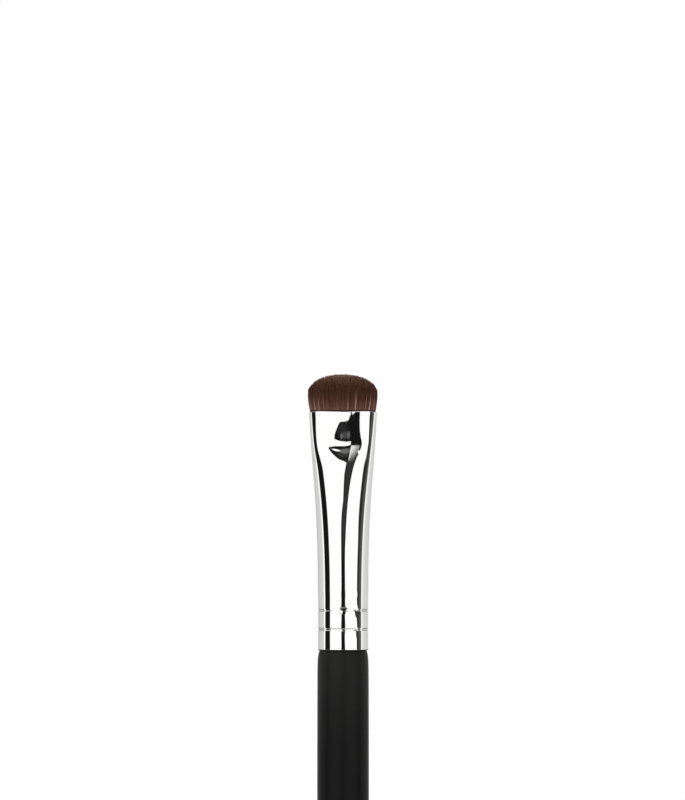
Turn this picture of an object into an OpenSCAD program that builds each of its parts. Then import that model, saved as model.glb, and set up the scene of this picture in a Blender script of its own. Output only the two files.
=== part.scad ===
// Eyeshadow brush: a short dense hair tuft in a flattened chrome ferrule, which is
// glued and crimped on to the tenon of a black lacquered wood handle.
// Millimetres. The origin is the middle of the handle's straight grip, where the brush is
// held. +Z runs up the brush to the hair, and the broad side of the tuft faces -Y.

/* [Handle] */
// Length of handle that shows, from its tail to the ferrule
handle_l = 128.5; // [110:0.5:150]
// How far the grip stands out beyond the ferrule's round end, on the radius
grip_swell = 0.04; // [0.02:0.01:0.4]
// Length of the straight grip, which a brush holder clasps
grip_l = 20; // [12:1:30]
// Length of the neck, which narrows from the grip to the ferrule
neck_l = 10.5; // [6:0.5:16]
// Width of the ledge on which the ferrule's lower end sits
ledge_w = 0.02; // [0.02:0.01:0.1]
// Diameter of the handle just above its round tail
tail_d = 4.2; // [3:0.1:5.5]
// Length of the tenon inside the ferrule
tenon_l = 8.4; // [7.4:0.1:8.8]
// Height of the bevel round the top of the tenon
tenon_bevel = 0.5; // [0.2:0.1:1]
// Thickness of the glue film between the tenon and the ferrule
glue_t = 0.1; // [0.06:0.02:0.2]
// How far the glue film stays back from the ledge
glue_set_back = 0.3; // [0.1:0.1:1]

/* [Ferrule] */
// Length of the ferrule
ferrule_l = 35.8; // [30:0.1:45]
// Outer diameter of the ferrule's round, crimped end
ferrule_d = 7.58; // [6.5:0.02:9]
// How far the ferrule swells out above its crimped end, on the radius
swell = 0.04; // [0.02:0.01:0.1]
// Thickness of the ferrule's wall
wall_t = 0.24; // [0.2:0.02:0.4]
// Length of the ferrule that stays round, from its lower end
round_l = 9; // [9:0.5:12]
// Outer width of the flattened mouth
mouth_w = 10.2; // [8.5:0.05:12]
// Outer thickness of the flattened mouth
mouth_t = 4.4; // [3.4:0.1:6]
// Height of the first crimp groove above the ferrule's lower end
crimp_first = 3.05; // [2:0.05:3.5]
// Distance from the first crimp groove to the second
crimp_pitch = 3.05; // [2:0.05:3.5]
// Width of a crimp groove
crimp_w = 0.5; // [0.3:0.05:0.6]
// Depth of a crimp groove
crimp_depth = 0.05; // [0.03:0.01:0.2]

/* [Hair] */
// Height of the tuft above the ferrule's mouth
hair_l = 5.7; // [4.5:0.1:9]
// Height at which the outermost hairs end and the dome begins
edge_h = 2.6; // [1.5:0.1:3.5]
// How far the tuft spreads out beyond the ferrule's mouth, on each side
hair_spread = 0.17; // [0:0.01:0.4]
// Roundness of the dome: 2 is an ellipse, more is squarer
dome_power = 2.2; // [2:0.1:3]
// Strands across the width of the tuft
strands_wide = 28; // [26:1:32]
// Strands through the thickness of the tuft
strands_deep = 13; // [12:1:15]
// Most by which a strand's tip stands above or below the dome
tip_scatter = 0.06; // [0:0.02:0.2]
// How far the hair parts into strands below the mouth
parting_depth = 0.4; // [0.2:0.1:1]

/* [Roots] */
// Clearance between the packed hair and the ferrule
hair_clearance = 0.02; // [0.02:0.01:0.06]
// Depth of the thread winding's top below the mouth
thread_drop = 5; // [3:0.5:5.5]
// Diameter of the binding thread
thread_d = 0.3; // [0.2:0.02:0.4]
// Turns of binding thread
thread_turns = 6; // [4:1:8]
// Length over which the hair is drawn in to the winding
draw_in_l = 0.6; // [0.3:0.1:1]
// Length of the roots that the resin holds, below the winding
set_root_l = 3.7; // [2:0.1:5]
// Thickness of resin under the ends of the roots
resin_floor_t = 1.5; // [0.8:0.1:3]
// Clearance between the resin and what it touches
resin_clearance = 0.02; // [0.01:0.01:0.05]

/* [Hidden] */

// Places along the brush
grip_low_z = -grip_l / 2;
ledge_z = grip_l / 2 + neck_l;
tail_z = ledge_z - handle_l;
mouth_z = ledge_z + ferrule_l;
thread_top_z = mouth_z - thread_drop;
thread_end_z = thread_top_z - thread_turns * thread_d;
root_end_z = thread_end_z - set_root_l;

// Radii of the round pieces, each from the ferrule that holds them
ferrule_r = ferrule_d / 2;
tube_r = ferrule_r + swell;
bore_r = ferrule_r - wall_t;
tenon_r = bore_r - glue_t;
ledge_r = bore_r + ledge_w;
grip_r = ferrule_r + grip_swell;
tail_r = tail_d / 2;

// How the curves are drawn
turned_sides = 96;
oval_sides = 56;
flare_steps = 16;
lip_steps = 4;
tail_steps = 8;
taper_steps = 20;
neck_steps = 10;
groove_steps = 6;

// Shapes of the curves
taper_power = 1.15;
neck_power = 0.28;
widening_power = 1.53;
widening_ease_share = 0.058;
thinning_power = 1.9;
lip_r = wall_t / 2;
// How far the flared wall is rooted in the round wall that carries it
wall_root = 0.5;
// How far the flared wall's foot stands into the bore
foot_step = 0.03;

// How much of its place in the tuft a strand fills
strand_share = 0.62;
scatter_seed = 11;

// One crimp groove on a surface of radius r, as points up the side
function groove(r, middle_h) = [
    for (k = [0 : groove_steps])
        let (turn = 360 * k / groove_steps)
        [r - crimp_depth * (1 - cos(turn)) / 2,
         middle_h + crimp_w * (k / groove_steps - 1 / 2)]
];

// The side of a round piece that the crimps press in, from height low to high
function crimped_side(r, low, high) = concat(
    [[r, low]],
    groove(r, crimp_first),
    groove(r, crimp_first + crimp_pitch),
    [[r, high]]
);

function reversed(list) = [for (k = [len(list) - 1 : -1 : 0]) list[k]];

function lifted(points, z) = [for (p = points) [p[0], p[1] + z]];

// Share of the way from the round end to the mouth at height h on the ferrule
function along_flare(h) = min(max((h - round_l) / (ferrule_l - round_l), 0), 1);

// Share of its widening that the tube has reached at height h
function widening(h) =
    let (bent = pow(along_flare(h), widening_power))
    bent - widening_ease_share * sin(360 * bent);

// Share of its thinning that the tube has reached at height h
function thinning(h) = pow(along_flare(h), thinning_power);

// Half width and half thickness of the flared wall at height h, taken in by inset
function ferrule_half(h, inset = 0) = [
    tube_r + (mouth_w / 2 - tube_r) * widening(h) - inset,
    tube_r + (mouth_t / 2 - tube_r) * thinning(h) - inset
];

// An oval ring that fits the ferrule at height z on the brush, taken in by inset
function fitted_ring(z, inset) = concat(ferrule_half(z - ledge_z, inset), [z]);

// A closed skin over oval rings of [half width, half thickness, z], which run up the
// outside and, for a hollow piece, down its inside; looped joins the last to the first.
module oval_skin(rings, looped = false) {
    last = len(rings) - 1;
    function at(i, k) = (i % len(rings)) * oval_sides + k % oval_sides;
    points = [
        for (ring = rings, k = [0 : oval_sides - 1])
            let (turn = 360 * k / oval_sides)
            [ring[0] * cos(turn), ring[1] * sin(turn), ring[2]]
    ];
    walls = [
        for (i = [0 : looped ? last : last - 1], k = [0 : oval_sides - 1], upper = [false, true])
            upper
                ? [at(i, k + 1), at(i + 1, k), at(i + 1, k + 1)]
                : [at(i, k), at(i + 1, k), at(i, k + 1)]
    ];
    caps = looped ? [] : [
        for (k = [1 : oval_sides - 2], top = [false, true])
            top ? [at(last, 0), at(last, k + 1), at(last, k)] : [at(0, 0), at(0, k), at(0, k + 1)]
    ];
    polyhedron(points = points, faces = concat(walls, caps), convexity = 4);
}

// Turned wood, with a round tail, a long taper, a straight grip and a crimped tenon
module handle() {
    tail = [
        for (k = [0 : tail_steps])
            let (turn = 90 * k / tail_steps)
            [tail_r * sin(turn), tail_z + tail_r * (1 - cos(turn))]
    ];
    taper_low_z = tail_z + tail_r;
    taper = [
        for (k = [1 : taper_steps])
            let (along = k / taper_steps)
            [tail_r + (grip_r - tail_r) * pow(sin(90 * along), taper_power),
             taper_low_z + (grip_low_z - taper_low_z) * along]
    ];
    neck = [
        for (k = [neck_steps : -1 : 0])
            let (down = pow(k / neck_steps, 2))
            [ledge_r + (grip_r - ledge_r) * pow(1 - pow(1 - down, 2), neck_power),
             ledge_z - neck_l * down]
    ];
    tenon = concat(
        lifted(crimped_side(tenon_r, 0, tenon_l - tenon_bevel), ledge_z),
        [[tenon_r - tenon_bevel, ledge_z + tenon_l], [0, ledge_z + tenon_l]]
    );
    color([0.12, 0.12, 0.12])
        rotate_extrude($fn = turned_sides)
            polygon(concat(tail, taper, neck, tenon));
}

// The glue film round the tenon, pressed in with it by the crimps
module handle_glue() {
    glue_top = tenon_l - tenon_bevel;
    color([0.86, 0.80, 0.62])
        translate([0, 0, ledge_z])
            rotate_extrude($fn = turned_sides)
                polygon(concat(
                    crimped_side(bore_r, glue_set_back, glue_top),
                    reversed(crimped_side(tenon_r, glue_set_back, glue_top))
                ));
}

// The round, crimped end of the ferrule, with its lower edge rolled over
module ferrule_round_end() {
    rolled_edge = [
        for (k = [0 : lip_steps])
            let (turn = 90 * k / lip_steps)
            [ferrule_r - lip_r * (1 - sin(turn)), lip_r * (1 - cos(turn))]
    ];
    translate([0, 0, ledge_z])
        rotate_extrude($fn = turned_sides)
            polygon(concat(
                rolled_edge,
                crimped_side(ferrule_r, 2 * lip_r, round_l),
                reversed(crimped_side(bore_r, 0, round_l))
            ));
}

// The wall above it, pressed from round to oval, with a rounded lip at the mouth.
// Its foot is a wedge that grows out of the middle of the round wall.
module ferrule_flared_wall() {
    high_h = ferrule_l - lip_r;
    heights = [for (k = [0 : flare_steps]) round_l + (high_h - round_l) * k / flare_steps];
    foot = [fitted_ring(ledge_z + round_l - wall_root, swell + wall_t / 2)];
    outside = [for (h = heights) fitted_ring(ledge_z + h, 0)];
    lip = [
        for (k = [1 : lip_steps])
            let (turn = 180 * k / (lip_steps + 1))
            fitted_ring(mouth_z, lip_r * (1 - cos(turn))) - [0, 0, lip_r * (1 - sin(turn))]
    ];
    inside = [
        for (k = [flare_steps : -1 : 0])
            fitted_ring(ledge_z + heights[k], k == 0 ? swell + wall_t + foot_step : wall_t)
    ];
    oval_skin(concat(foot, outside, lip, inside), looped = true);
}

module ferrule() {
    color([0.86, 0.87, 0.88])
        union() {
            ferrule_round_end();
            ferrule_flared_wall();
        }
}

// The cup of set resin that holds the ends of the hair roots in the ferrule
module resin_plug() {
    floor_z = root_end_z - resin_floor_t;
    rim_z = thread_end_z - resin_clearance;
    outer_inset = wall_t + resin_clearance;
    inner_inset = wall_t + hair_clearance + thread_d - resin_clearance;
    color([0.80, 0.66, 0.36])
        oval_skin([
            fitted_ring(floor_z, outer_inset),
            fitted_ring((floor_z + rim_z) / 2, outer_inset),
            fitted_ring(rim_z, outer_inset),
            fitted_ring(rim_z, inner_inset),
            fitted_ring(root_end_z - resin_clearance, inner_inset)
        ]);
}

// The winding that binds the roots, as a band of its outer shape
module binding_thread() {
    outer_inset = wall_t + resin_clearance;
    inner_inset = wall_t + hair_clearance + thread_d - resin_clearance;
    color([0.90, 0.88, 0.82])
        oval_skin([
            fitted_ring(thread_end_z, outer_inset),
            fitted_ring(thread_top_z, outer_inset),
            fitted_ring(thread_top_z, inner_inset),
            fitted_ring(thread_end_z, inner_inset)
        ], looped = true);
}

// The hair: straight strands that splay a little from one packed bundle of roots.
// The strands stand on a square grid that is rounded into the oval of the mouth.
module bristles() {
    // Lines of the grid, from -1 to 1: the two borders, and the two sides of each strand
    function grid_lines(count) = concat(
        [-1],
        [for (i = [0 : count - 1], side = [-1, 1]) (2 * i + 1 + side * strand_share) / count - 1],
        [1]
    );
    // A point of the square from -1 to 1, moved to its place in the unit circle
    function rounded(u, v) = [u * sqrt(1 - v * v / 2), v * sqrt(1 - u * u / 2)];
    function dome(reach) =
        edge_h + (hair_l - edge_h) * pow(1 - pow(min(reach, 1), dome_power), 1 / dome_power);

    across = grid_lines(strands_wide);
    through = grid_lines(strands_deep);
    columns = len(across);
    rows = len(through);
    packed = wall_t + hair_clearance;
    sheet_z = mouth_z - parting_depth;
    sheet_half = ferrule_half(ferrule_l - parting_depth, packed);
    tip_half = [mouth_w / 2, mouth_t / 2] + [hair_spread, hair_spread];
    scatter = rands(-tip_scatter, tip_scatter, strands_wide * strands_deep, scatter_seed);

    sheet = [
        for (v = through, u = across)
            let (p = rounded(u, v))
            [p[0] * sheet_half[0], p[1] * sheet_half[1], sheet_z]
    ];
    tips = [
        for (j = [0 : strands_deep - 1], i = [0 : strands_wide - 1], corner = [[1, 1], [2, 1], [2, 2], [1, 2]])
            let (p = rounded(across[2 * i + corner[0]], through[2 * j + corner[1]]))
            [p[0] * tip_half[0], p[1] * tip_half[1],
             mouth_z + dome(norm(p)) + scatter[j * strands_wide + i]]
    ];
    // The border of the sheet, anticlockwise from above, as columns and rows
    border = concat(
        [for (c = [0 : columns - 2]) [c, 0]],
        [for (r = [0 : rows - 2]) [columns - 1, r]],
        [for (c = [columns - 1 : -1 : 1]) [c, rows - 1]],
        [for (r = [rows - 1 : -1 : 1]) [0, r]]
    );
    around = len(border);
    root_rings = [
        fitted_ring(thread_top_z + draw_in_l, packed),
        fitted_ring(thread_top_z, packed + thread_d),
        fitted_ring(root_end_z, packed + thread_d)
    ];
    roots = [
        for (ring = root_rings, b = border)
            let (p = rounded(across[b[0]], through[b[1]]))
            [p[0] * ring[0], p[1] * ring[1], ring[2]]
    ];

    function on_sheet(c, r) = r * columns + c;
    function on_tip(i, j, corner) = len(sheet) + 4 * (j * strands_wide + i) + corner % 4;
    function on_root(ring, k) = ring == 0
        ? on_sheet(border[k % around][0], border[k % around][1])
        : len(sheet) + len(tips) + (ring - 1) * around + k % around;
    function is_strand(c, r) = c % 2 == 1 && r % 2 == 1;
    function foot(i, j) = [
        on_sheet(2 * i + 1, 2 * j + 1), on_sheet(2 * i + 2, 2 * j + 1),
        on_sheet(2 * i + 2, 2 * j + 2), on_sheet(2 * i + 1, 2 * j + 2)
    ];

    between_strands = [
        for (r = [0 : rows - 2], c = [0 : columns - 2], upper = [false, true])
            if (!is_strand(c, r))
                upper
                    ? [on_sheet(c + 1, r), on_sheet(c, r + 1), on_sheet(c + 1, r + 1)]
                    : [on_sheet(c, r), on_sheet(c, r + 1), on_sheet(c + 1, r)]
    ];
    strand_sides = [
        for (j = [0 : strands_deep - 1], i = [0 : strands_wide - 1], k = [0 : 3], upper = [false, true])
            upper
                ? [foot(i, j)[(k + 1) % 4], on_tip(i, j, k), on_tip(i, j, k + 1)]
                : [foot(i, j)[k], on_tip(i, j, k), foot(i, j)[(k + 1) % 4]]
    ];
    strand_ends = [
        for (j = [0 : strands_deep - 1], i = [0 : strands_wide - 1], k = [1, 2])
            [on_tip(i, j, 0), on_tip(i, j, k + 1), on_tip(i, j, k)]
    ];
    root_sides = [
        for (ring = [0 : len(root_rings) - 1], k = [0 : around - 1], lower = [false, true])
            lower
                ? [on_root(ring + 1, k), on_root(ring, k), on_root(ring + 1, k + 1)]
                : [on_root(ring, k), on_root(ring, k + 1), on_root(ring + 1, k + 1)]
    ];
    root_end = [
        for (k = [1 : around - 2])
            [on_root(len(root_rings), 0), on_root(len(root_rings), k), on_root(len(root_rings), k + 1)]
    ];
    color([0.27, 0.17, 0.13])
        polyhedron(
            points = concat(sheet, tips, roots),
            faces = concat(between_strands, strand_sides, strand_ends, root_sides, root_end),
            convexity = 12
        );
}

handle();
handle_glue();
ferrule();
resin_plug();
binding_thread();
bristles();
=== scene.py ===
import math

import bpy
import numpy as np
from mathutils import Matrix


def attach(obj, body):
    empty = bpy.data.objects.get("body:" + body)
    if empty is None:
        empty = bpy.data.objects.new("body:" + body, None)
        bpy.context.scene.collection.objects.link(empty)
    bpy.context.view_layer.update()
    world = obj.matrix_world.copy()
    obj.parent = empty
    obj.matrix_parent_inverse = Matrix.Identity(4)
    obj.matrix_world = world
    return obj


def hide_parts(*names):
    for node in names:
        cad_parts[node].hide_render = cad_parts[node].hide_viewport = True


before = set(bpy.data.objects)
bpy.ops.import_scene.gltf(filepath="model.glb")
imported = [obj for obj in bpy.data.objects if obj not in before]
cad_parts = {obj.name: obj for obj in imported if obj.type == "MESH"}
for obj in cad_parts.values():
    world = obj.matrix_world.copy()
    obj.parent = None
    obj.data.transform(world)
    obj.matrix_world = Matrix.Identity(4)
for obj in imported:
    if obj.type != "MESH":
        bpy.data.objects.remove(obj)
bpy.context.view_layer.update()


# The camera looks straight at the broad side of the tuft, level with the ferrule, from far
# enough away that the brush hardly narrows with distance. The handle runs out of the
# bottom of the picture.
camera_data = bpy.data.cameras.new("camera")
camera_data.lens = 400
camera_data.sensor_width = 36
camera_data.dof.use_dof = False
camera = bpy.data.objects.new("camera", camera_data)
camera.location = (-0.0000825, -1.3333, 0.05803)
camera.rotation_euler = (math.radians(90), 0, 0)
bpy.context.scene.collection.objects.link(camera)
bpy.context.scene.camera = camera


# The handle: one piece of hardwood turned on a lathe, with a round tail, a long taper, a
# straight grip, a neck and a thinner tenon. It is sprayed with satin black lacquer, and
# the ferrule's two crimps have pressed their grooves into the tenon.
MM = 0.001
FERRULE_LEDGE = 20.5
GRIP_HALF = 10.0
GRIP_RINGS = (-5, 0, 5)
GRIP_RADIUS = 3.88
TAIL_RADIUS = 2.1
TAIL_HEIGHT = -108.0
TAIL_STEPS = 12
TAPER_POWER = 1.15
TAPER_STEPS = 30
NECK_LENGTH = 10.5
NECK_STEPS = 24
TENON_RADIUS = 3.45
TENON_LENGTH = 8.4
TENON_BEVEL = 0.5

# Two curves draw the neck in towards the ledge: each one's amount there, and its reach
# below it.
NECK_DRAW = ((0.31, 0.72), (0.05, 6.0))

# Each crimp's height above the ledge and its depth.
CRIMPS = ((3.18, 0.060), (6.02, 0.046))
CRIMP_WIDTH = 0.5


def crimped_side(radius, low, high, steps=14):
    """The side of a round piece with the two crimp grooves in it, in millimetres."""
    side = [(radius, low)]
    for middle, groove_depth in CRIMPS:
        for k in range(steps + 1):
            turn = math.tau * k / steps
            side.append((radius - groove_depth * (1 - math.cos(turn)) / 2,
                         middle + CRIMP_WIDTH * (k / steps - 0.5)))
    side.append((radius, high))
    return side


def handle_side():
    """Radius and height along the whole handle, from its tail up to the tenon's end."""
    side = []
    for k in range(1, TAIL_STEPS + 1):
        turn = math.radians(90 * k / TAIL_STEPS)
        side.append((TAIL_RADIUS * math.sin(turn),
                     TAIL_HEIGHT + TAIL_RADIUS * (1 - math.cos(turn))))
    taper_low = TAIL_HEIGHT + TAIL_RADIUS
    for k in range(1, TAPER_STEPS + 1):
        along = k / TAPER_STEPS
        side.append((TAIL_RADIUS + (GRIP_RADIUS - TAIL_RADIUS)
                     * math.sin(math.radians(90 * along)) ** TAPER_POWER,
                     taper_low + (-GRIP_HALF - taper_low) * along))
    for height in GRIP_RINGS:
        side.append((GRIP_RADIUS, height))
    for k in range(NECK_STEPS, -1, -1):
        down = NECK_LENGTH * (k / NECK_STEPS) ** 2
        drawn_in = sum(amount * math.exp(-down / reach) for amount, reach in NECK_DRAW)
        side.append((GRIP_RADIUS - drawn_in, FERRULE_LEDGE - down))
    for radius, height in crimped_side(TENON_RADIUS, 0, TENON_LENGTH - TENON_BEVEL):
        side.append((radius, FERRULE_LEDGE + height))
    side.append((TENON_RADIUS - TENON_BEVEL, FERRULE_LEDGE + TENON_LENGTH))
    return side


def raise_skin(name, sides, rings):
    """Draws a tube up through oval rings of (half width, half thickness, height)."""
    bpy.ops.object.select_all(action="DESELECT")
    half_w, half_t, height = rings[0]
    bpy.ops.mesh.primitive_circle_add(vertices=sides, radius=half_w * MM, location=(0, 0, 0))
    piece = bpy.context.object
    piece.name = piece.data.name = name
    bpy.ops.object.mode_set(mode="EDIT")
    bpy.ops.mesh.select_all(action="SELECT")
    bpy.ops.transform.resize(value=(1, half_t / half_w, 1), center_override=(0, 0, 0))
    bpy.ops.transform.translate(value=(0, 0, height * MM))
    for next_w, next_t, next_height in rings[1:]:
        rise = (next_height - height) * MM
        bpy.ops.mesh.extrude_region_move(TRANSFORM_OT_translate={"value": (0, 0, rise)})
        bpy.ops.transform.resize(value=(next_w / half_w, next_t / half_t, 1),
                                 center_override=(0, 0, next_height * MM))
        half_w, half_t, height = next_w, next_t, next_height
    return piece


def close_ends_at_axis(piece):
    """Draws the last ring of a tube, and then the first, in to a point on the axis."""
    bpy.ops.mesh.extrude_region_move(TRANSFORM_OT_translate={"value": (0, 0, 0)})
    bpy.ops.mesh.merge(type="CENTER")
    bpy.ops.mesh.select_all(action="DESELECT")
    bpy.ops.object.mode_set(mode="OBJECT")
    lowest = min(v.co.z for v in piece.data.vertices)
    for vertex in piece.data.vertices:
        vertex.select = vertex.co.z < lowest + 1e-7
    for edge in piece.data.edges:
        edge.select = all(piece.data.vertices[i].select for i in edge.vertices)
    bpy.ops.object.mode_set(mode="EDIT")
    bpy.ops.mesh.extrude_region_move(TRANSFORM_OT_translate={"value": (0, 0, 0)})
    bpy.ops.mesh.merge(type="CENTER")


def smooth_piece(piece, crease_angle):
    """Turns the faces outward and shades the skin smooth between its sharp edges."""
    bpy.ops.mesh.select_all(action="SELECT")
    bpy.ops.mesh.normals_make_consistent(inside=False)
    bpy.ops.object.mode_set(mode="OBJECT")
    bpy.ops.object.select_all(action="DESELECT")
    piece.select_set(True)
    bpy.context.view_layer.objects.active = piece
    bpy.ops.object.shade_smooth_by_angle(angle=math.radians(crease_angle))


lacquered_handle = raise_skin("lacquered_handle", sides=128,
                              rings=[(r, r, z) for r, z in handle_side()])
close_ends_at_axis(lacquered_handle)
smooth_piece(lacquered_handle, crease_angle=35)


def new_material(name, **sockets):
    """A Principled material, with its even values set on the shader's own sockets."""
    material = bpy.data.materials.new(name)
    material.use_nodes = True
    shader = material.node_tree.nodes["Principled BSDF"]
    for socket, value in sockets.items():
        shader.inputs[socket.replace("_", " ")].default_value = value
    return material, material.node_tree.nodes, material.node_tree.links, shader


def build_grain():
    """The grain of every surface: noise fixed to the piece, with Scale in waves to the metre.
    Mask is the plain noise, and Value runs from Low to High over the middle of it."""
    group = bpy.data.node_groups.new("grain", "ShaderNodeTree")
    for name, kind in (("Scale", "NodeSocketFloat"), ("Stretch", "NodeSocketVector"),
                       ("Detail", "NodeSocketFloat"), ("Low", "NodeSocketFloat"),
                       ("High", "NodeSocketFloat")):
        group.interface.new_socket(name=name, in_out="INPUT", socket_type=kind)
    for name in ("Mask", "Value"):
        group.interface.new_socket(name=name, in_out="OUTPUT", socket_type="NodeSocketFloat")
    nodes, links = group.nodes, group.links
    asked, given = nodes.new("NodeGroupInput"), nodes.new("NodeGroupOutput")
    coordinates, mapping = nodes.new("ShaderNodeTexCoord"), nodes.new("ShaderNodeMapping")
    noise, middle = nodes.new("ShaderNodeTexNoise"), nodes.new("ShaderNodeMapRange")
    middle.inputs["From Min"].default_value = 0.3
    middle.inputs["From Max"].default_value = 0.7
    links.new(coordinates.outputs["Object"], mapping.inputs["Vector"])
    links.new(asked.outputs["Stretch"], mapping.inputs["Scale"])
    links.new(mapping.outputs["Vector"], noise.inputs["Vector"])
    links.new(asked.outputs["Scale"], noise.inputs["Scale"])
    links.new(asked.outputs["Detail"], noise.inputs["Detail"])
    links.new(noise.outputs["Fac"], middle.inputs["Value"])
    links.new(asked.outputs["Low"], middle.inputs["To Min"])
    links.new(asked.outputs["High"], middle.inputs["To Max"])
    links.new(noise.outputs["Fac"], given.inputs["Mask"])
    links.new(middle.outputs["Result"], given.inputs["Value"])
    return group


grain_group = build_grain()


def grain(nodes, scale, stretch=(1, 1, 1), detail=2.0, low=0.0, high=1.0):
    """Places the grain in a material with its own values and gives back its outputs."""
    node = nodes.new("ShaderNodeGroup")
    node.node_tree = grain_group
    for name, value in (("Scale", scale), ("Stretch", stretch), ("Detail", detail),
                        ("Low", low), ("High", high)):
        node.inputs[name].default_value = value
    return node.outputs


def ramp(nodes, links, factor, stops):
    """A colour ramp through stops of (place, colour)."""
    node = nodes.new("ShaderNodeValToRGB")
    for index, (place, colour) in enumerate(stops):
        if index < 2:
            stop = node.color_ramp.elements[index]
            stop.position = place
        else:
            stop = node.color_ramp.elements.new(place)
        stop.color = (*colour, 1)
    links.new(factor, node.inputs["Fac"])
    return node.outputs["Color"]


def fade(nodes, links, value, start, end, low=0.0, high=1.0):
    """Low before start and high after end, smooth between."""
    node = nodes.new("ShaderNodeMapRange")
    node.interpolation_type = "SMOOTHSTEP"
    for name, number in (("From Min", start), ("From Max", end), ("To Min", low),
                         ("To Max", high)):
        node.inputs[name].default_value = number
    links.new(value, node.inputs["Value"])
    return node.outputs["Result"]


def calculate(nodes, links, operation, *terms, clamp=False):
    """One sum on numbers and on outputs of other nodes."""
    node = nodes.new("ShaderNodeMath")
    node.operation = operation
    node.use_clamp = clamp
    for socket, term in zip(node.inputs, terms):
        if isinstance(term, (int, float)):
            socket.default_value = term
        else:
            links.new(term, socket)
    return node.outputs["Value"]


def blend(nodes, links, factor, first, second):
    """A colour between two others, each an output or a plain colour."""
    node = nodes.new("ShaderNodeMix")
    node.data_type = "RGBA"
    for socket, term in (("A", first), ("B", second)):
        if isinstance(term, tuple):
            node.inputs[socket].default_value = (*term, 1)
        else:
            links.new(term, node.inputs[socket])
    links.new(factor, node.inputs["Factor"])
    return node.outputs["Result"]


def place_on_piece(nodes, links):
    """The place on the piece along each axis, in metres."""
    coordinates = nodes.new("ShaderNodeTexCoord")
    axes = nodes.new("ShaderNodeSeparateXYZ")
    links.new(coordinates.outputs["Object"], axes.inputs["Vector"])
    return axes.outputs["X"], axes.outputs["Y"], axes.outputs["Z"]


def raise_surface(nodes, links, shader, factor, distance):
    """Feeds a height to the shader's normal: a factor of 1 stands for the distance."""
    bump = nodes.new("ShaderNodeBump")
    bump.inputs["Distance"].default_value = distance
    links.new(factor, bump.inputs["Height"])
    links.new(bump.outputs["Normal"], shader.inputs["Normal"])


# Between these heights, up the neck, the lacquer is painted a little paler: a painted sheen where
# the neck turns up towards the light.
PAINTED_SHEEN_FROM, PAINTED_SHEEN_TO = 4.0, 19.5


def make_lacquer():
    material, nodes, links, shader = new_material("satin_black_lacquer",
                                                  Specular_IOR_Level=0.13)
    cloud = grain(nodes, scale=260, stretch=(1, 1, 0.35), detail=3)["Mask"]
    colour = ramp(nodes, links, cloud, [(0.35, (0.0032, 0.0031, 0.0030)),
                                        (0.65, (0.0056, 0.0054, 0.0052))])
    # The painted sheen: the lacquer's mottle a little paler, blended in up the neck.
    painted_sheen_colour = ramp(nodes, links, cloud, [(0.35, (0.0112, 0.0108, 0.0104)),
                                       (0.65, (0.0142, 0.0137, 0.0132))])
    height = place_on_piece(nodes, links)[2]
    painted_sheen_mask = fade(nodes, links, height, PAINTED_SHEEN_FROM * MM, PAINTED_SHEEN_TO * MM)
    links.new(blend(nodes, links, painted_sheen_mask, colour, painted_sheen_colour), shader.inputs["Base Color"])
    gloss = grain(nodes, scale=1500, stretch=(1, 1, 0.25), detail=3, low=0.36, high=0.44)["Value"]
    links.new(gloss, shader.inputs["Roughness"])
    peel = grain(nodes, scale=2400, stretch=(1, 1, 0.6), detail=2)["Mask"]
    raise_surface(nodes, links, shader, peel, distance=0.000004)
    return material


lacquered_handle.data.materials.append(make_lacquer())
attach(lacquered_handle, "root")
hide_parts("handle")


# The ferrule: a thin seamless brass tube, plated with bright chrome. Its lower edge is
# rolled, two crimps hold it on the tenon, and it is pressed from round into a wider and
# flatter oval towards its mouth, where the lip is rounded off and dips at its two ends.
FERRULE_LENGTH = 35.8
FERRULE_RADIUS = 3.79
WALL = 0.24
ROUND_LENGTH = 9.0
SWELL = 0.04
SWELL_RUN = 1.2
STRAIGHT_LENGTH = ROUND_LENGTH - SWELL_RUN
MOUTH_HALF = (5.1, 2.2)
WIDENING_POWER = 1.53
WIDENING_EASE = 0.058
THINNING_POWER = 1.9
ROLL_STEPS = 8
SWELL_STEPS = 8
FLARE_STEPS = 80
LIP_STEPS = 12
BORE_STEPS = 30

# The lip: the rounding of its edge, and a ring close below that keeps the edge crisp. From
# LIP_BEND up the wall lifts the lip towards its two ends and drops it at them.
LIP_ROUND = 0.05
LIP_EDGE = 0.03
LIP_BEND = 30
LIP_RISE = 0.20
LIP_DIP = 0.36

# How far the upper crimp bows up at the front.
CRIMP_BOW = 0.30


def along_flare(height):
    """The share of the flare that lies below a height above the ferrule's lower end."""
    return min(max((height - ROUND_LENGTH) / (FERRULE_LENGTH - ROUND_LENGTH), 0), 1)


def ferrule_half(height, inset=0.0):
    """Half width and half thickness of the tube at a height above its lower end."""
    tube = FERRULE_RADIUS + SWELL
    bent = along_flare(height) ** WIDENING_POWER
    widening = bent - WIDENING_EASE * math.sin(math.tau * bent)
    thinning = along_flare(height) ** THINNING_POWER
    return (tube + (MOUTH_HALF[0] - tube) * widening - inset,
            tube + (MOUTH_HALF[1] - tube) * thinning - inset)


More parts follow.
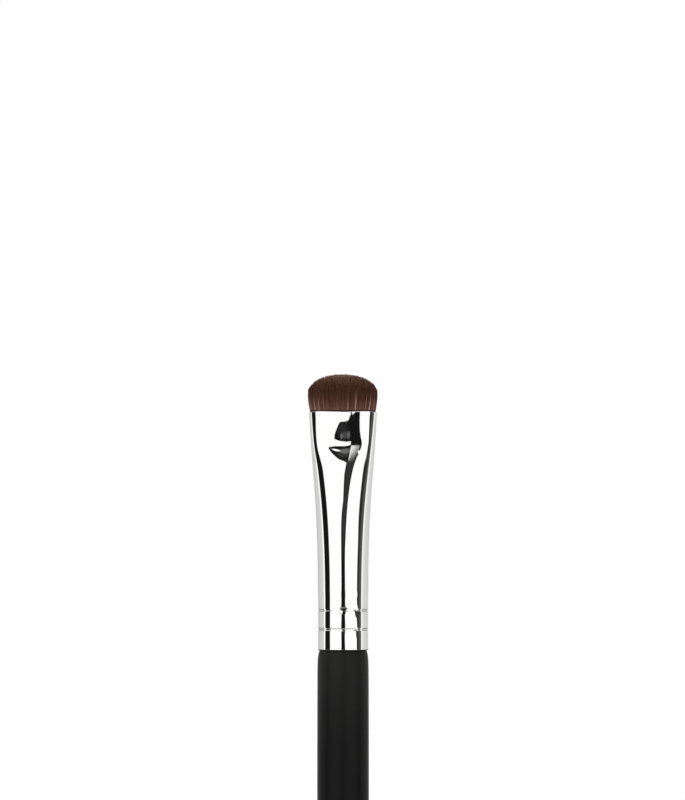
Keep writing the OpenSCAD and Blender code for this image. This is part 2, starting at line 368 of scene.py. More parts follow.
def ferrule_rings():
    """The tube's rings, up its outside, over the lip, down its bore and back to the start."""
    half_wall = WALL / 2
    low_side, top = [], FERRULE_LENGTH - LIP_ROUND
    for k in range(ROLL_STEPS + 1):
        turn = math.radians(90 * k / ROLL_STEPS)
        low_side.append((FERRULE_RADIUS - half_wall * (1 - math.sin(turn)),
                         half_wall * (1 - math.cos(turn))))
    low_side += crimped_side(FERRULE_RADIUS, WALL, STRAIGHT_LENGTH)
    rings = [(r, r, h) for r, h in low_side]
    for k in range(1, SWELL_STEPS + 1):
        ease = (1 - math.cos(math.pi * k / SWELL_STEPS)) / 2
        radius = FERRULE_RADIUS + SWELL * ease
        rings.append((radius, radius, STRAIGHT_LENGTH + SWELL_RUN * k / SWELL_STEPS))
    for k in range(1, FLARE_STEPS + 1):
        height = ROUND_LENGTH + (top - ROUND_LENGTH) * k / FLARE_STEPS
        rings.append((*ferrule_half(height), height))
    rings.insert(-1, (*ferrule_half(top - LIP_EDGE), top - LIP_EDGE))
    for k in range(1, LIP_STEPS):
        turn = math.radians(180 * k / LIP_STEPS)
        rings.append((*ferrule_half(FERRULE_LENGTH, half_wall * (1 - math.cos(turn))),
                      FERRULE_LENGTH - LIP_ROUND * (1 - math.sin(turn))))
    for k in range(BORE_STEPS, -1, -1):
        height = ROUND_LENGTH + (top - ROUND_LENGTH) * k / BORE_STEPS
        rings.append((*ferrule_half(height, WALL), height))
    bore = crimped_side(FERRULE_RADIUS - WALL, 0, STRAIGHT_LENGTH)
    rings += [(r, r, h) for r, h in reversed(bore)]
    rings.append(rings[0])
    return [(w, t, FERRULE_LEDGE + h) for w, t, h in rings]


chrome_ferrule = raise_skin("chrome_ferrule", sides=160, rings=ferrule_rings())
bpy.ops.mesh.select_all(action="SELECT")
bpy.ops.mesh.remove_doubles(threshold=0.0000002)
smooth_piece(chrome_ferrule, crease_angle=50)
for vertex in chrome_ferrule.data.vertices:
    height = vertex.co.z / MM - FERRULE_LEDGE
    share = min(max((height - LIP_BEND) / (FERRULE_LENGTH - LIP_BEND), 0), 1) ** 2
    side = abs(vertex.co.x / MM / MOUTH_HALF[0])
    vertex.co.z += share * (LIP_RISE * side ** 2 - LIP_DIP * side ** 6) * MM
    if abs(height - CRIMPS[1][0]) < CRIMP_WIDTH:
        forward = max(-vertex.co.y / MM / FERRULE_RADIUS, 0)
        vertex.co.z += CRIMP_BOW * forward ** 6 * MM


# Each press mark: its side, its middle height, how far it runs below and above that, where
# it starts and ends across, how it leans below and above, and its depth.
PRESS_MARKS = ((-1, 51.5, 4.2, 7.5, 3.37, 4.74, 0.185, -0.142, 0.142),
               (1, 51.6, 5.3, 6.5, 3.38, 4.12, 0.10, 0.028, 0.046))


def press_mark(nodes, links, side, middle, below, above, start, end, lean_low, lean_high, depth):
    """A faint shoulder that the press left down one side, where the tube turns flat."""
    across, _, height = place_on_piece(nodes, links)
    over = calculate(nodes, links, "SUBTRACT", height, middle * MM)
    reach = calculate(nodes, links, "MULTIPLY", across, side)
    for half, lean in (("MINIMUM", -lean_low), ("MAXIMUM", lean_high)):
        reach = calculate(nodes, links, "MULTIPLY_ADD",
                          calculate(nodes, links, half, over, 0), lean, reach)
    shoulder = fade(nodes, links, reach, start * MM, end * MM, 0, depth)
    for length in (-below, above):
        shoulder = calculate(nodes, links, "MULTIPLY", shoulder,
                             fade(nodes, links, over, length * MM, 0))
    return shoulder


# Each mark that the crimping jaw left at the front of the upper crimp: its place across and
# half width, its height and half height, how deep it is, and how much its floor leans.
CRIMP_DENTS = ((0.09, 0.62, 26.81, 0.36, 0.025, 0), (0.06, 0.9, 26.32, 0.38, 0, -0.047),
               (1.95, 0.6, 26.12, 0.80, 0, 0.088), (2.05, 0.5, 27.0, 0.5, 0, -0.035))


def crimp_dent(nodes, links, across, half_width, height, half_height, depth, lean):
    """One round mark on the front of the ferrule, which fades out towards its edge."""
    x, y, z = place_on_piece(nodes, links)
    aside = calculate(nodes, links, "MULTIPLY_ADD", x, 1 / (half_width * MM), -across / half_width)
    above = calculate(nodes, links, "MULTIPLY_ADD", z, 1 / (half_height * MM),
                      -height / half_height)
    away = calculate(nodes, links, "ADD", calculate(nodes, links, "MULTIPLY", aside, aside),
                     calculate(nodes, links, "MULTIPLY", above, above))
    dent = calculate(nodes, links, "MULTIPLY", fade(nodes, links, away, 1, 0),
                     calculate(nodes, links, "MULTIPLY_ADD", aside, lean * half_width, depth))
    return calculate(nodes, links, "MULTIPLY", dent, calculate(nodes, links, "LESS_THAN", y, 0))


# Painted shade at the joint with the ledge, a fine dark line: the tube is painted dark and not
# metallic up to the first of these heights above the ledge, and bright from the second.
JOINT_SHADE_DARK, JOINT_SHADE_CLEAR = 0.12, 0.18


def make_chrome():
    material, nodes, links, shader = new_material("bright_chrome_plate",
                                                  Specular_IOR_Level=0.1)
    haze = grain(nodes, scale=700, stretch=(1, 1, 0.4), detail=3)["Mask"]
    plate = ramp(nodes, links, haze, [(0.35, (0.957, 0.958, 0.945)),
                                      (0.65, (0.978, 0.979, 0.966))])
    height = place_on_piece(nodes, links)[2]
    # The painted shade where the tube meets the ledge, with a slightly wandering edge.
    wander = grain(nodes, scale=900, low=-0.00001, high=0.00001)["Value"]
    edge = calculate(nodes, links, "ADD", height, wander)
    joint_shade = fade(nodes, links, edge, (FERRULE_LEDGE + JOINT_SHADE_CLEAR) * MM,
                (FERRULE_LEDGE + JOINT_SHADE_DARK) * MM)
    links.new(blend(nodes, links, joint_shade, plate, (0.004, 0.004, 0.004)),
              shader.inputs["Base Color"])
    links.new(calculate(nodes, links, "SUBTRACT", 1, joint_shade), shader.inputs["Metallic"])
    polish = grain(nodes, scale=2600, stretch=(1, 1, 0.08), low=0.003, high=0.016)["Value"]
    links.new(polish, shader.inputs["Roughness"])
    relief = calculate(nodes, links, "ADD",
                       *(press_mark(nodes, links, *mark) for mark in PRESS_MARKS))
    for mark in CRIMP_DENTS:
        relief = calculate(nodes, links, "SUBTRACT", relief, crimp_dent(nodes, links, *mark))
    raise_surface(nodes, links, shader, relief, distance=MM)
    return material


chrome_ferrule.data.materials.append(make_chrome())
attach(chrome_ferrule, "root")
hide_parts("ferrule")


# What the ferrule hides: a film of set glue round the tenon, a winding of waxed cotton
# thread that binds the hair, and a cup of amber resin in which the roots are set.
def make_glue():
    material, nodes, links, shader = new_material("set_glue", Roughness=0.42)
    cloud = grain(nodes, scale=900, detail=3)["Mask"]
    links.new(ramp(nodes, links, cloud, [(0.3, (0.62, 0.55, 0.36)), (0.7, (0.74, 0.68, 0.50))]),
              shader.inputs["Base Color"])
    raise_surface(nodes, links, shader, cloud, distance=0.00002)
    return material


def make_resin():
    material, nodes, links, shader = new_material("amber_resin", Roughness=0.2)
    cloud = grain(nodes, scale=700, detail=4, low=0.14, high=0.30)
    links.new(ramp(nodes, links, cloud["Mask"], [(0.3, (0.42, 0.26, 0.08)),
                                                 (0.7, (0.60, 0.42, 0.16))]),
              shader.inputs["Base Color"])
    links.new(cloud["Value"], shader.inputs["Roughness"])
    return material


# The winding's turns lie one thread's width apart. A wave texture of scale 1 goes through
# WAVE_BANDS radians in a metre.
THREAD_WIDTH = 0.3
WAVE_BANDS = 20


def make_thread():
    material, nodes, links, shader = new_material("waxed_thread", Roughness=0.7)
    coordinates = nodes.new("ShaderNodeTexCoord")
    turns = nodes.new("ShaderNodeTexWave")
    turns.bands_direction = "Z"
    turns.inputs["Scale"].default_value = math.tau / (THREAD_WIDTH * MM) / WAVE_BANDS
    turns.inputs["Distortion"].default_value = 0.6
    links.new(coordinates.outputs["Object"], turns.inputs["Vector"])
    links.new(ramp(nodes, links, turns.outputs["Fac"],
                   [(0.0, (0.42, 0.37, 0.27)), (0.6, (0.72, 0.68, 0.57))]),
              shader.inputs["Base Color"])
    raise_surface(nodes, links, shader, turns.outputs["Fac"], distance=0.00008)
    return material


for hidden_node, hidden_material in (("handle_glue", make_glue()),
                                     ("resin_plug", make_resin()),
                                     ("binding_thread", make_thread())):
    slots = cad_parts[hidden_node].data.materials
    slots.clear()
    slots.append(hidden_material)


# The tuft: thousands of soft dark brown hairs, packed tight in the mouth. They lie in
# small locks, splay a little above the rim, and are trimmed to a low dome. Their colour is
# painted with shade at the rim and light low on the tuft, and the fine ends are painted
# lighter where they catch the light along the top. A few hairs are paler, with a painted
# highlight low on the tuft and painted shade beside them.
MOUTH_HEIGHT = FERRULE_LEDGE + FERRULE_LENGTH

# One hair, in shares of its length: where it is cut into short lengths, and its tip.
HAIR_RADIUS = 0.037
HAIR_THICKNESS = (0.82, 1.15)
HAIR_CUTS = (0.2, 0.4, 0.6, 0.78, 0.92)
TIP_START, TIP_LENGTH, TIP_THINNING = 0.7, 0.3, 0.65

# The tuft's shape: its splay above the rim, and the edge and crown of its dome.
HAIRS = 8200
ROOT_DEPTH = 0.6
RIM_GAP = 0.01
RIM_REACH = 0.12
RIM_BULGE = 0.07
SIDE_LEAN = 0.06
SPREAD_HEIGHT = 2.6
SPREAD_POWER = 1.5
TUFT_HALF = (5.2, 2.3)
EDGE_HEIGHT = 2.6
DOME_HEIGHT = 5.65
DOME_POWER = 2.15

# The locks: how far each draws its tips together, and how unevenly they lean and are cut.
LOCKS = 260
LOCKS_REACH = 0.97
OWN_SHARE, LOCK_SHARE = 0.66, 0.34
LOCK_LEAN = (0.07, 0.05)
LOCK_TRIM = 0.05
HAIR_LEAN = 0.045
HAIR_TRIM = 0.12
LEAN_POWER = 1.6

# The tone of a hair comes from itself, its lock and its column across the tuft. The height
# that colours it, painted shade at the rim and painted light above, is HEIGHT_AT_RIM at the
# rim. A pale streak is a place across, a half width and a tone: its hairs are pale with a
# painted highlight low on the tuft.
TONE_SHARES = (0.25, 0.2, 0.55)
COLUMNS = 60
HEIGHT_AT_RIM, HEIGHT_SPAN = 0.1, 0.8
PALE_STREAKS = ((-4.25, 0.09, 0.92), (-3.65, 0.07, 0.88), (-2.86, 0.07, 0.78),
                (-0.80, 0.12, 0.68), (0.80, 0.10, 0.86), (1.94, 0.08, 1.25),
                (3.45, 0.08, 0.86), (4.08, 0.07, 0.96), (4.70, 0.08, 0.80))


def model_one_hair():
    """One three-sided hair, a unit high and a unit thick, that thins to its tip."""
    bpy.ops.object.select_all(action="DESELECT")
    bpy.ops.mesh.primitive_cone_add(vertices=3, radius1=1, radius2=0.3, depth=1,
                                    location=(0, 0, 0.5))
    hair = bpy.context.object
    hair.name = "one_hair"
    bpy.ops.object.transform_apply(location=True, rotation=False, scale=False)
    bpy.ops.object.mode_set(mode="EDIT")
    for height in HAIR_CUTS:
        bpy.ops.mesh.select_all(action="SELECT")
        bpy.ops.mesh.bisect(plane_co=(0, 0, height), plane_no=(0, 0, 1))
    bpy.ops.mesh.select_all(action="SELECT")
    bpy.ops.mesh.normals_make_consistent(inside=False)
    bpy.ops.object.mode_set(mode="OBJECT")
    corners = np.array([v.co for v in hair.data.vertices])
    past_start = (corners[:, 2] - TIP_START) / TIP_LENGTH
    thickness = np.where(corners[:, 2] < TIP_START, 1, 1 - past_start * TIP_THINNING)
    reach = np.hypot(corners[:, 0], corners[:, 1])
    corners[:, :2] *= (thickness / reach)[:, None]
    faces = [list(p.vertices) for p in hair.data.polygons]
    bpy.data.objects.remove(hair)
    return corners, faces


def disk_points(count, seed):
    """Points spread evenly over the unit disk, each a little out of line."""
    turn = np.arange(count) * 2.399963 + 1.0
    reach = np.sqrt((np.arange(count) + 0.5) / count)
    jitter = np.random.default_rng(seed).normal(0, 0.35 / math.sqrt(count), (count, 2))
    places = np.stack([reach * np.cos(turn), reach * np.sin(turn)], 1) + jitter
    length = np.linalg.norm(places, axis=1, keepdims=True)
    return places / np.maximum(length, 1)


def comb_hairs():
    """Place in the tuft, path and colour of every hair, in millimetres."""
    chance = np.random.default_rng(7)
    places = disk_points(HAIRS, seed=3)
    locks = disk_points(LOCKS, seed=5) * LOCKS_REACH
    gap = ((places[:, None, :] - locks[None, :, :]) ** 2 * np.array(MOUTH_HALF) ** 2).sum(2)
    lock = gap.argmin(1)
    lock_lean = chance.normal(0, 1, (LOCKS, 2)) * LOCK_LEAN
    lock_tone = chance.uniform(0, 1, LOCKS)
    tip_places = places * OWN_SHARE + locks[lock] * LOCK_SHARE
    length = np.linalg.norm(tip_places, axis=1, keepdims=True)
    tip_places /= np.maximum(length, 1)
    reach = np.linalg.norm(tip_places, axis=1).clip(0, 1)
    height = EDGE_HEIGHT + (DOME_HEIGHT - EDGE_HEIGHT) * (
        (1 - reach ** DOME_POWER) ** (1 / DOME_POWER))
    height -= (np.abs(chance.normal(0, HAIR_TRIM, HAIRS))
               + chance.uniform(0, LOCK_TRIM, LOCKS)[lock])
    lean = lock_lean[lock] + chance.normal(0, HAIR_LEAN, (HAIRS, 2))
    inside = 1 - reach[:, None] ** 6
    across = places[:, 0] * MOUTH_HALF[0]
    columns = chance.uniform(0, 1, COLUMNS)
    column_places = np.linspace(-TUFT_HALF[0], TUFT_HALF[0], COLUMNS)
    own, of_lock, of_column = TONE_SHARES
    tone = (own * chance.uniform(0, 1, HAIRS) + of_lock * lock_tone[lock]
            + of_column * np.interp(across, column_places, columns))
    # Each streak's hairs take its tone. The hairs beside it have their tone halved, which paints
    # shade beside the streak.
    for middle, half_width, strength in PALE_STREAKS:
        beside = np.abs(across - middle)
        tone = np.where(beside < 3 * half_width, tone * 0.5, tone)
        tone = np.where(beside < half_width, strength, tone)
    return places, tip_places, height, lean * inside, tone


def grow_tuft(name, chosen, unit, faces, hairs):
    """One mesh of the chosen hairs, each a copy of the one hair laid along its path."""
    places, tip_places, height, lean, tone = (values[chosen] for values in hairs)
    chance = np.random.default_rng(len(name))
    count, along = len(height), unit[:, 2]
    rise = (height + ROOT_DEPTH)[:, None] * along[None, :] - ROOT_DEPTH
    share = np.clip((rise + WALL / 2) / (SPREAD_HEIGHT + WALL / 2), 0, 1)
    share = (1 - (1 - share) ** SPREAD_POWER)[:, :, None]
    mouth_half = np.array(MOUTH_HALF) - WALL - HAIR_RADIUS - RIM_GAP
    upper = (rise / DOME_HEIGHT).clip(0, 1)[:, :, None]
    mixed = places[:, None, :] * (1 - upper) + tip_places[:, None, :] * upper
    half = mouth_half + (np.array(TUFT_HALF) - mouth_half) * share
    clear_of_rim = 1 - np.exp(-np.maximum(rise, 0) / RIM_REACH)[:, :, None]
    half = half + np.array([RIM_BULGE, 0]) * clear_of_rim
    centre = mixed * half + lean[:, None, :] * upper ** LEAN_POWER
    centre = centre - np.array([SIDE_LEAN, 0]) * clear_of_rim
    spin = chance.uniform(0, math.tau, count)
    thick = HAIR_RADIUS * chance.uniform(*HAIR_THICKNESS, count)
    cos, sin = np.cos(spin)[:, None], np.sin(spin)[:, None]
    offset = np.stack([unit[:, 0] * cos - unit[:, 1] * sin,
                       unit[:, 0] * sin + unit[:, 1] * cos], 2) * thick[:, None, None]
    corners = np.concatenate([centre + offset, (rise + MOUTH_HEIGHT)[:, :, None]], 2)
    every_face = [[index + hair * len(unit) for index in face]
                  for hair in range(count) for face in faces]
    mesh = bpy.data.meshes.new(name)
    mesh.from_pydata((corners.reshape(-1, 3) * MM).tolist(), [], every_face)
    strand = mesh.uv_layers.new(name="strand")
    corner_of_loop = np.zeros(len(mesh.loops), dtype=np.int32)
    mesh.loops.foreach_get("vertex_index", corner_of_loop)
    above_rim = (rise / DOME_HEIGHT * HEIGHT_SPAN + HEIGHT_AT_RIM).reshape(-1)
    values = np.stack([np.repeat(tone, len(unit)), above_rim], 1)[corner_of_loop]
    strand.data.foreach_set("uv", values.astype(np.float32).reshape(-1))
    mesh.polygons.foreach_set("use_smooth", [True] * len(mesh.polygons))
    mesh.update()
    tuft = bpy.data.objects.new(name, mesh)
    bpy.context.scene.collection.objects.link(tuft)
    return tuft


def make_hair_material():
    """Colours by the map called strand: across it runs a hair's tone, and up it its height."""
    material, nodes, links, shader = new_material("dark_brown_hair", Roughness=0.5,
                                                  Specular_IOR_Level=0.2)
    strand = nodes.new("ShaderNodeUVMap")
    strand.uv_map = "strand"
    parts = nodes.new("ShaderNodeSeparateXYZ")
    links.new(strand.outputs["UV"], parts.inputs["Vector"])
    # Painted light by height up each hair: painted shade at and below the rim, painted light low
    # on the tuft, and the ends lighter where they catch the light.
    dark_hair_with_painted_light = ramp(nodes, links, parts.outputs["Y"], [(0.125, (0.070, 0.030, 0.026)),
                                                   (0.142, (0.195, 0.090, 0.064)),
                                                   (0.22, (0.150, 0.062, 0.041)),
                                                   (0.36, (0.105, 0.038, 0.023)),
                                                   (0.52, (0.100, 0.037, 0.022)),
                                                   (0.66, (0.116, 0.045, 0.026)),
                                                   (0.78, (0.160, 0.073, 0.043)),
                                                   (0.88, (0.235, 0.140, 0.095))])
    # The pale streaks' hairs: paler, with a painted highlight low on the tuft that fades higher
    # up, and the same painted shade at the rim.
    pale_hair_with_painted_light = ramp(nodes, links, parts.outputs["Y"], [(0.120, (0.12, 0.06, 0.05)),
                                                   (0.136, (0.56, 0.37, 0.31)),
                                                   (0.26, (0.46, 0.28, 0.22)),
                                                   (0.40, (0.19, 0.090, 0.062)),
                                                   (0.52, (0.105, 0.040, 0.024)),
                                                   (0.80, (0.165, 0.077, 0.046)),
                                                   (0.90, (0.31, 0.21, 0.14))])
    paleness = ramp(nodes, links, parts.outputs["X"], [(0.45, (0.0, 0.0, 0.0)),
                                                       (0.75, (0.22, 0.22, 0.22)),
                                                       (0.98, (1.0, 1.0, 1.0))])
    # The boldest streak: its hairs carry a still brighter painted highlight low on the tuft.
    boldest_hair_with_painted_light = ramp(nodes, links, parts.outputs["Y"], [(0.120, (0.14, 0.07, 0.06)),
                                                     (0.138, (0.62, 0.42, 0.36)),
                                                     (0.30, (0.56, 0.36, 0.30)),
                                                     (0.42, (0.28, 0.15, 0.11)),
                                                     (0.56, (0.10, 0.037, 0.022))])
    boldest = fade(nodes, links, parts.outputs["X"], 1.0, 1.2)
    colour = blend(nodes, links, boldest, blend(nodes, links, paleness, dark_hair_with_painted_light, pale_hair_with_painted_light), boldest_hair_with_painted_light)
    links.new(colour, shader.inputs["Base Color"])
    gloss = grain(nodes, scale=1800, stretch=(1, 1, 0.1), low=0.4, high=0.6)["Value"]
    links.new(gloss, shader.inputs["Roughness"])
    return material


one_hair, hair_faces = model_one_hair()
combed = comb_hairs()
hair_material = make_hair_material()
facing = combed[0][:, 1] < 0
for tuft_name, chosen in (("hair_front", facing), ("hair_back", ~facing)):
    tuft = grow_tuft(tuft_name, chosen, one_hair, hair_faces, combed)
    tuft.data.materials.append(hair_material)
    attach(tuft, "root")
    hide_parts("bristles")


# The floor is one pale sheet under the brush. It keeps the brush's shadow near it and
# runs out to plain white.
bpy.ops.object.select_all(action="DESELECT")
bpy.ops.mesh.primitive_grid_add(x_subdivisions=8, y_subdivisions=8, size=6,
                                location=(0, 0, 0))
floor = bpy.context.object
floor.name = "floor"
bpy.ops.object.mode_set(mode="EDIT")
bpy.ops.mesh.select_all(action="SELECT")
bpy.ops.transform.translate(value=(0, 0, TAIL_HEIGHT * MM))
bpy.ops.object.mode_set(mode="OBJECT")


# How far from the brush, in metres, the floor begins to turn white and is white.
WHITE_FROM, WHITE_TO = 0.12, 0.54


def make_floor_material():
    material, nodes, links, shader = new_material("pale_floor", Roughness=0.9,
                                                  Specular_IOR_Level=0.1)
    cloud = grain(nodes, scale=14, detail=3)["Mask"]
    links.new(ramp(nodes, links, cloud, [(0.3, (0.90, 0.90, 0.90)), (0.7, (0.93, 0.93, 0.93))]),
              shader.inputs["Base Color"])
    white = nodes.new("ShaderNodeEmission")
    white.inputs["Strength"].default_value = 1.0
    coordinates = nodes.new("ShaderNodeTexCoord")
    distance = nodes.new("ShaderNodeVectorMath")
    distance.operation = "LENGTH"
    links.new(coordinates.outputs["Object"], distance.inputs[0])
    far = fade(nodes, links, distance.outputs["Value"], WHITE_FROM, WHITE_TO)
    path = nodes.new("ShaderNodeLightPath")
    seen = calculate(nodes, links, "MAXIMUM", path.outputs["Is Camera Ray"],
                     path.outputs["Is Glossy Ray"])
    both = nodes.new("ShaderNodeMixShader")
    links.new(calculate(nodes, links, "MULTIPLY", far, seen), both.inputs["Fac"])
    links.new(shader.outputs["BSDF"], both.inputs[1])
    links.new(white.outputs["Emission"], both.inputs[2])
    links.new(both.outputs["Shader"], nodes["Material Output"].inputs["Surface"])
    return material


floor.data.materials.append(make_floor_material())
floor.visible_glossy = False


# The studio: even soft light from all round, one large soft lamp high at the left, and
# what the chrome mirrors, which is pale walls with dark cards at the two sides and the
# dark stand in front.
lamp_data = bpy.data.lights.new("soft_lamp", "AREA")
lamp_data.shape = "SQUARE"
lamp_data.size = 0.7
lamp_data.energy = 2.4
lamp = bpy.data.objects.new("soft_lamp", lamp_data)
lamp.location = (-0.45, -0.75, 0.65)
lamp.rotation_euler = (math.radians(50), 0, math.radians(-31))
lamp.visible_glossy = False
bpy.context.scene.collection.objects.link(lamp)

studio = bpy.data.worlds.new("studio")
bpy.context.scene.world = studio
studio.use_nodes = True
sky, wires = studio.node_tree.nodes, studio.node_tree.links
sky.clear()


def sky_math(operation, *terms, clamp=False):
    return calculate(sky, wires, operation, *terms, clamp=clamp)


def sky_fade(value, start, end, low=0.0, high=1.0):
    return fade(sky, wires, value, start, end, low, high)


# Bearing and elevation are in degrees, the bearing from straight in front of the brush and
# positive to the right. A level line on the stand rises in elevation towards straight in
# front, so the stand's own height is the elevation with that taken out.
direction = sky.new("ShaderNodeTexCoord")
split = sky.new("ShaderNodeSeparateXYZ")
wires.new(direction.outputs["Generated"], split.inputs["Vector"])
to_front = sky_math("MULTIPLY", split.outputs["Y"], -1)
bearing = sky_math("DEGREES", sky_math("ARCTAN2", split.outputs["X"], to_front))
elevation = sky_math("DEGREES", sky_math("ARCSINE", split.outputs["Z"]))
steep = sky_math("ABSOLUTE", elevation)
sideways = sky_math("MAXIMUM", sky_math("COSINE", sky_math("RADIANS", bearing)), 0.05)
stand_height = sky_math("DIVIDE", elevation, sky_math("POWER", sideways, 1.75))

# The walls' brightness by bearing, with the two dark cards. The right-hand card leans, so
# its bearing shifts with elevation.
WALLS = [(-180, 0.012), (-173, 0.012), (-171, 1.05), (-157, 1.05), (-154, 0.30), (-150, 0.50),
         (-144, 0.53), (-133, 0.60), (-122, 0.65), (-99.5, 0.665), (-98, 1.05), (-90.6, 1.05),
         (-88.8, 0.008), (-62.4, 0.008), (-60.8, 1.05), (65.3, 1.05), (66.8, 0.014),
         (73, 0.025), (79, 0.064), (90, 0.112), (91.6, 0.90), (102.5, 0.88), (104.5, 0.69),
         (115, 0.68), (125, 0.66), (135, 0.64), (149, 0.61), (153, 0.30), (157, 1.05),
         (169, 1.05), (171, 0.012), (180, 0.012)]
far_up = sky_math("MAXIMUM", sky_math("SUBTRACT", elevation, 1.8), 0)
far_down = sky_math("MINIMUM", sky_math("ADD", elevation, 1.5), 0)
right_lean = sky_math("MULTIPLY_ADD", sky_math("ADD", far_up, far_down), 0.62,
                      sky_fade(elevation, 0.5, 1.75, 0.5, 4.3))
right_lean = sky_math("MULTIPLY", right_lean, sky_fade(bearing, 42, 56))
right_lean = sky_math("MULTIPLY", right_lean, sky_fade(bearing, 86, 76))
leaned_bearing = sky_math("ADD", sky_math("ADD", bearing, right_lean), 180)
round_walls = ramp(sky, wires, sky_math("DIVIDE", leaned_bearing, 360),
                   [((angle + 180) / 360, (level,) * 3) for angle, level in WALLS])

# The stand's outline, as its left and right bearings by height on the stand.
STAND_LEFT = [
    (-2, -7.4), (1.6, -7.9), (3.6, -8.0), (4.6, -7.4), (5.5, -4.9), (6.45, 0.2), (7.85, 2.2),
    (8.46, 3.2), (9.05, 6.6), (9.35, 8.1), (9.48, -0.2), (9.60, -10.9), (9.93, -26.1),
    (10.20, -33.7), (10.31, -32), (10.52, -16), (10.585, -3), (10.595, 8), (10.60, 15.7),
    (10.87, 15.7), (10.90, 5), (10.96, -9.8), (11.02, -17.6), (11.35, -15.8), (11.83, -10.9),
    (12.14, -7.9), (12.31, -5.2), (12.375, -3.4), (12.39, 8.6), (12.66, 10.5), (12.74, 12.2),
    (12.81, 11.6), (14, -4)]
STAND_RIGHT = [
    (-2, 8.2), (-0.6, 8.2), (1.6, 8.2), (2.6, 8.6), (3.6, 10.4), (5.55, 13.9), (6.65, 16.8),
    (7.85, 21.2), (8.68, 25.8), (9.09, 28.7), (9.59, 34.9), (9.80, 38.5), (10.12, 42.7),
    (10.45, 44.5), (10.62, 43.3), (10.94, 38.8), (11.38, 33.9), (11.91, 30.5), (12.26, 28.6),
    (13.0, 27.2), (13.4, 20), (14, 10)]
STAND_LOW, STAND_SPAN = -2, 16
SIDE_BEARING = 60


def sky_outline(points):
    """A side of the stand's outline: its bearing at each height, in degrees."""
    node = sky.new("ShaderNodeFloatCurve")
    curve = node.mapping.curves[0]
    places = [(((height - STAND_LOW) / STAND_SPAN) ** 3,
               (side + SIDE_BEARING) / (2 * SIDE_BEARING)) for height, side in points]
    curve.points[0].location = places[0]
    curve.points[1].location = places[-1]
    for place in places[1:-1]:
        curve.points.new(*place)
    for point in curve.points:
        point.handle_type = "VECTOR"
    node.mapping.update()
    place = sky_math("DIVIDE", sky_math("ADD", stand_height, -STAND_LOW), STAND_SPAN, clamp=True)
    wires.new(sky_math("POWER", place, 3), node.inputs["Value"])
    return sky_math("MULTIPLY_ADD", node.outputs["Value"], 2 * SIDE_BEARING, -SIDE_BEARING)


def sky_spot(bearing_middle, bearing_reach, height_middle, height_reach, level, edge=1.0):
    """A round patch on the stand, brightest in its middle; edge is the share that fades."""
    across = sky_math("DIVIDE", sky_math("SUBTRACT", bearing, bearing_middle), bearing_reach)
    up = sky_math("DIVIDE", sky_math("SUBTRACT", stand_height, height_middle), height_reach)
    away = sky_math("ADD", sky_math("MULTIPLY", across, across), sky_math("MULTIPLY", up, up))
    return sky_fade(away, 1.0, 1.0 - edge, 0.0, level)


past_left = sky_math("SUBTRACT", bearing, sky_outline(STAND_LEFT))
past_right = sky_math("SUBTRACT", sky_outline(STAND_RIGHT), bearing)
stand = sky_math("MULTIPLY", sky_fade(past_left, -0.7, 0.7), sky_fade(past_right, -0.7, 0.7))
stand = sky_math("MULTIPLY", stand, sky_fade(elevation, -34, -28))
stand = sky_math("MULTIPLY", stand, sky_fade(elevation, 58, 52))

# Light on the stand: a grey panel at its right, a faint sheen well inside its outline, and
# round patches, each as sky_spot takes them.
PATCHES = ((-3, 3.0, 11.27, 0.25, 0.13), (10.6, 3.8, 11.34, 0.38, 0.095),
           (4, 10, 11.38, 0.33, 0.050), (-2, 14, 11.75, 0.75, 0.014),
           (-15, 12.0, 10.23, 0.09, 1.35), (5, 17, 10.21, 0.24, 0.15),
           (0, 20, 9.95, 0.30, 0.03), (37.6, 3.2, 9.91, 0.13, 1.05, 0.4),
           (17.0, 3.8, 12.82, 0.23, 1.05, 0.4))
STAND_LEVEL = 0.008
from_panel = sky_math("SUBTRACT", bearing, sky_math("MULTIPLY_ADD", stand_height, 4.5, -30.8))
top_of_panel = sky_math("MULTIPLY_ADD", bearing, 0.0088, stand_height)
panel = sky_math("MULTIPLY", sky_fade(from_panel, 0.0, 1.5), sky_fade(past_right, 3.5, 7.5))
panel = sky_math("MULTIPLY", panel, sky_fade(top_of_panel, 10.73, 10.68))
glow = sky_math("MULTIPLY", sky_fade(stand_height, 9.25, 10.45),
                sky_fade(from_panel, 2, 22, 0.80, 0.32))
edge_glow = sky_math("MULTIPLY", sky_fade(stand_height, 9.35, 9.70),
                     sky_fade(from_panel, 5.5, 1.0, 0, 0.95))
panel = sky_math("MULTIPLY", panel, sky_math("MAXIMUM", glow, edge_glow))
well_inside = sky_fade(sky_math("MINIMUM", past_left, past_right), 1.5, 4.0)
sheen = sky_math("MULTIPLY", sky_fade(stand_height, 1.0, 4.5, 0.0, 0.024),
                 sky_fade(stand_height, 9.7, 9.3))
lights = sky_math("ADD", panel, sky_math("MULTIPLY", sheen, well_inside))
for patch in PATCHES:
    lights = sky_math("ADD", lights, sky_spot(*patch))
stand_level = sky_math("ADD", lights, STAND_LEVEL)

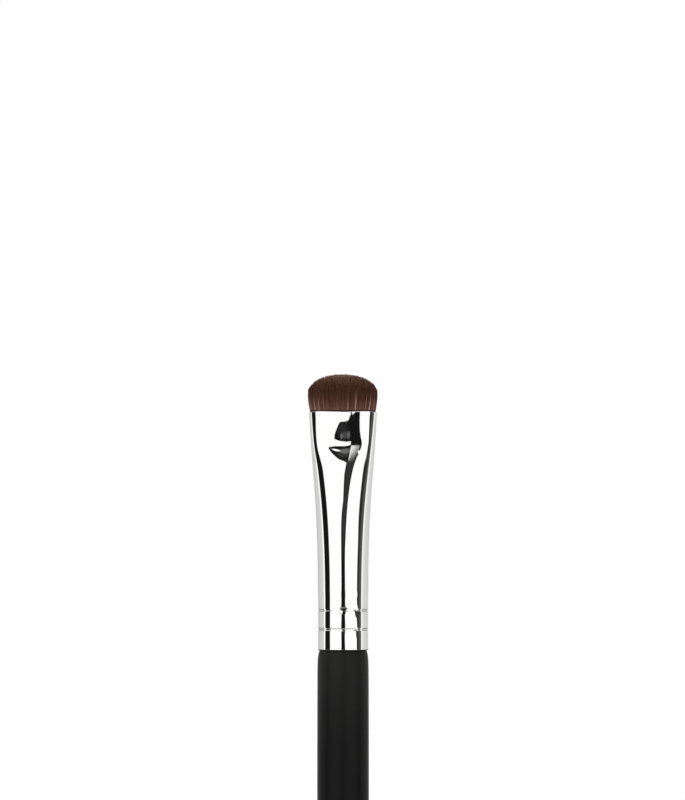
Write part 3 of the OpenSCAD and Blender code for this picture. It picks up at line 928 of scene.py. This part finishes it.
# What changes the walls with elevation: the stand's dark skirt low in front, a band of
# shade above and below the horizon behind the cards, and grey above the left-hand card.
skirt_across = sky_math("DIVIDE", sky_math("SUBTRACT", bearing, 1), 10.5)
skirt_up = sky_math("DIVIDE", sky_math("ADD", elevation, 9), 15.5)
skirt = sky_math("ADD", sky_math("MULTIPLY", skirt_across, skirt_across),
                 sky_math("MULTIPLY", skirt_up, skirt_up))
skirt = sky_fade(skirt, 1.0, 0.8)
side_shade = sky_math("MULTIPLY", sky_fade(steep, 5, 9), sky_fade(steep, 24, 20, 0.0, 0.5))
side_shade = sky_math("MULTIPLY", side_shade, sky_fade(sky_math("ABSOLUTE", bearing), 96, 100))
left_card = sky_math("MULTIPLY", sky_fade(bearing, -56, -60), sky_fade(bearing, -96, -92))
above_card = sky_math("MULTIPLY", sky_fade(elevation, 17, 20), left_card)

# Steeply up the walls give way to a pale ceiling, and steeply down to the table.
low_enough = sky_fade(steep, 34, 28)
under = sky_fade(sideways, 0.3, 0.6, 0.50, 0.25)
upper_walls = sky_math("MULTIPLY_ADD", sky_fade(elevation, -20, 20),
                       sky_math("SUBTRACT", 0.85, under), under)
upper_walls = sky_math("ADD", sky_fade(elevation, 40, 70, 0.0, 0.8), upper_walls)
table = sky_math("MULTIPLY_ADD", round_walls, 0.5, 0.40)
upper_walls = sky_math("MAXIMUM", upper_walls,
                       sky_math("MULTIPLY", sky_fade(elevation, -40, -55), table))
walls = sky_math("MULTIPLY", round_walls, sky_math("SUBTRACT", 1, side_shade))
walls = sky_math("MAXIMUM", walls, sky_math("MULTIPLY", above_card, 0.45))
walls = sky_math("MULTIPLY", walls, sky_fade(skirt, 0.0, 1.0, 1.0, 0.10))
walls = sky_math("ADD", sky_math("MULTIPLY", walls, low_enough),
                 sky_math("MULTIPLY", sky_math("SUBTRACT", 1, low_enough), upper_walls))
mirrored = sky_math("ADD", sky_math("MULTIPLY", walls, sky_math("SUBTRACT", 1, stand)),
                    sky_math("MULTIPLY", stand_level, stand))

# Only glossy rays see the walls and the stand. The camera sees plain white, and all other
# rays get even light.
path = sky.new("ShaderNodeLightPath")
plain = sky_math("ADD", 0.80, sky_math("MULTIPLY", 0.20, sky_math(
    "MAXIMUM", path.outputs["Is Camera Ray"], path.outputs["Is Transmission Ray"])))
not_glossy = sky_math("SUBTRACT", 1, path.outputs["Is Glossy Ray"])
level = sky_math("ADD", sky_math("MULTIPLY", mirrored, path.outputs["Is Glossy Ray"]),
                 sky_math("MULTIPLY", plain, not_glossy))
background = sky.new("ShaderNodeBackground")
wires.new(level, background.inputs["Strength"])
world_output = sky.new("ShaderNodeOutputWorld")
wires.new(background.outputs["Background"], world_output.inputs["Surface"])
background.inputs["Color"].default_value = (1, 1, 1, 1)

bpy.context.scene.view_settings.view_transform = "Standard"
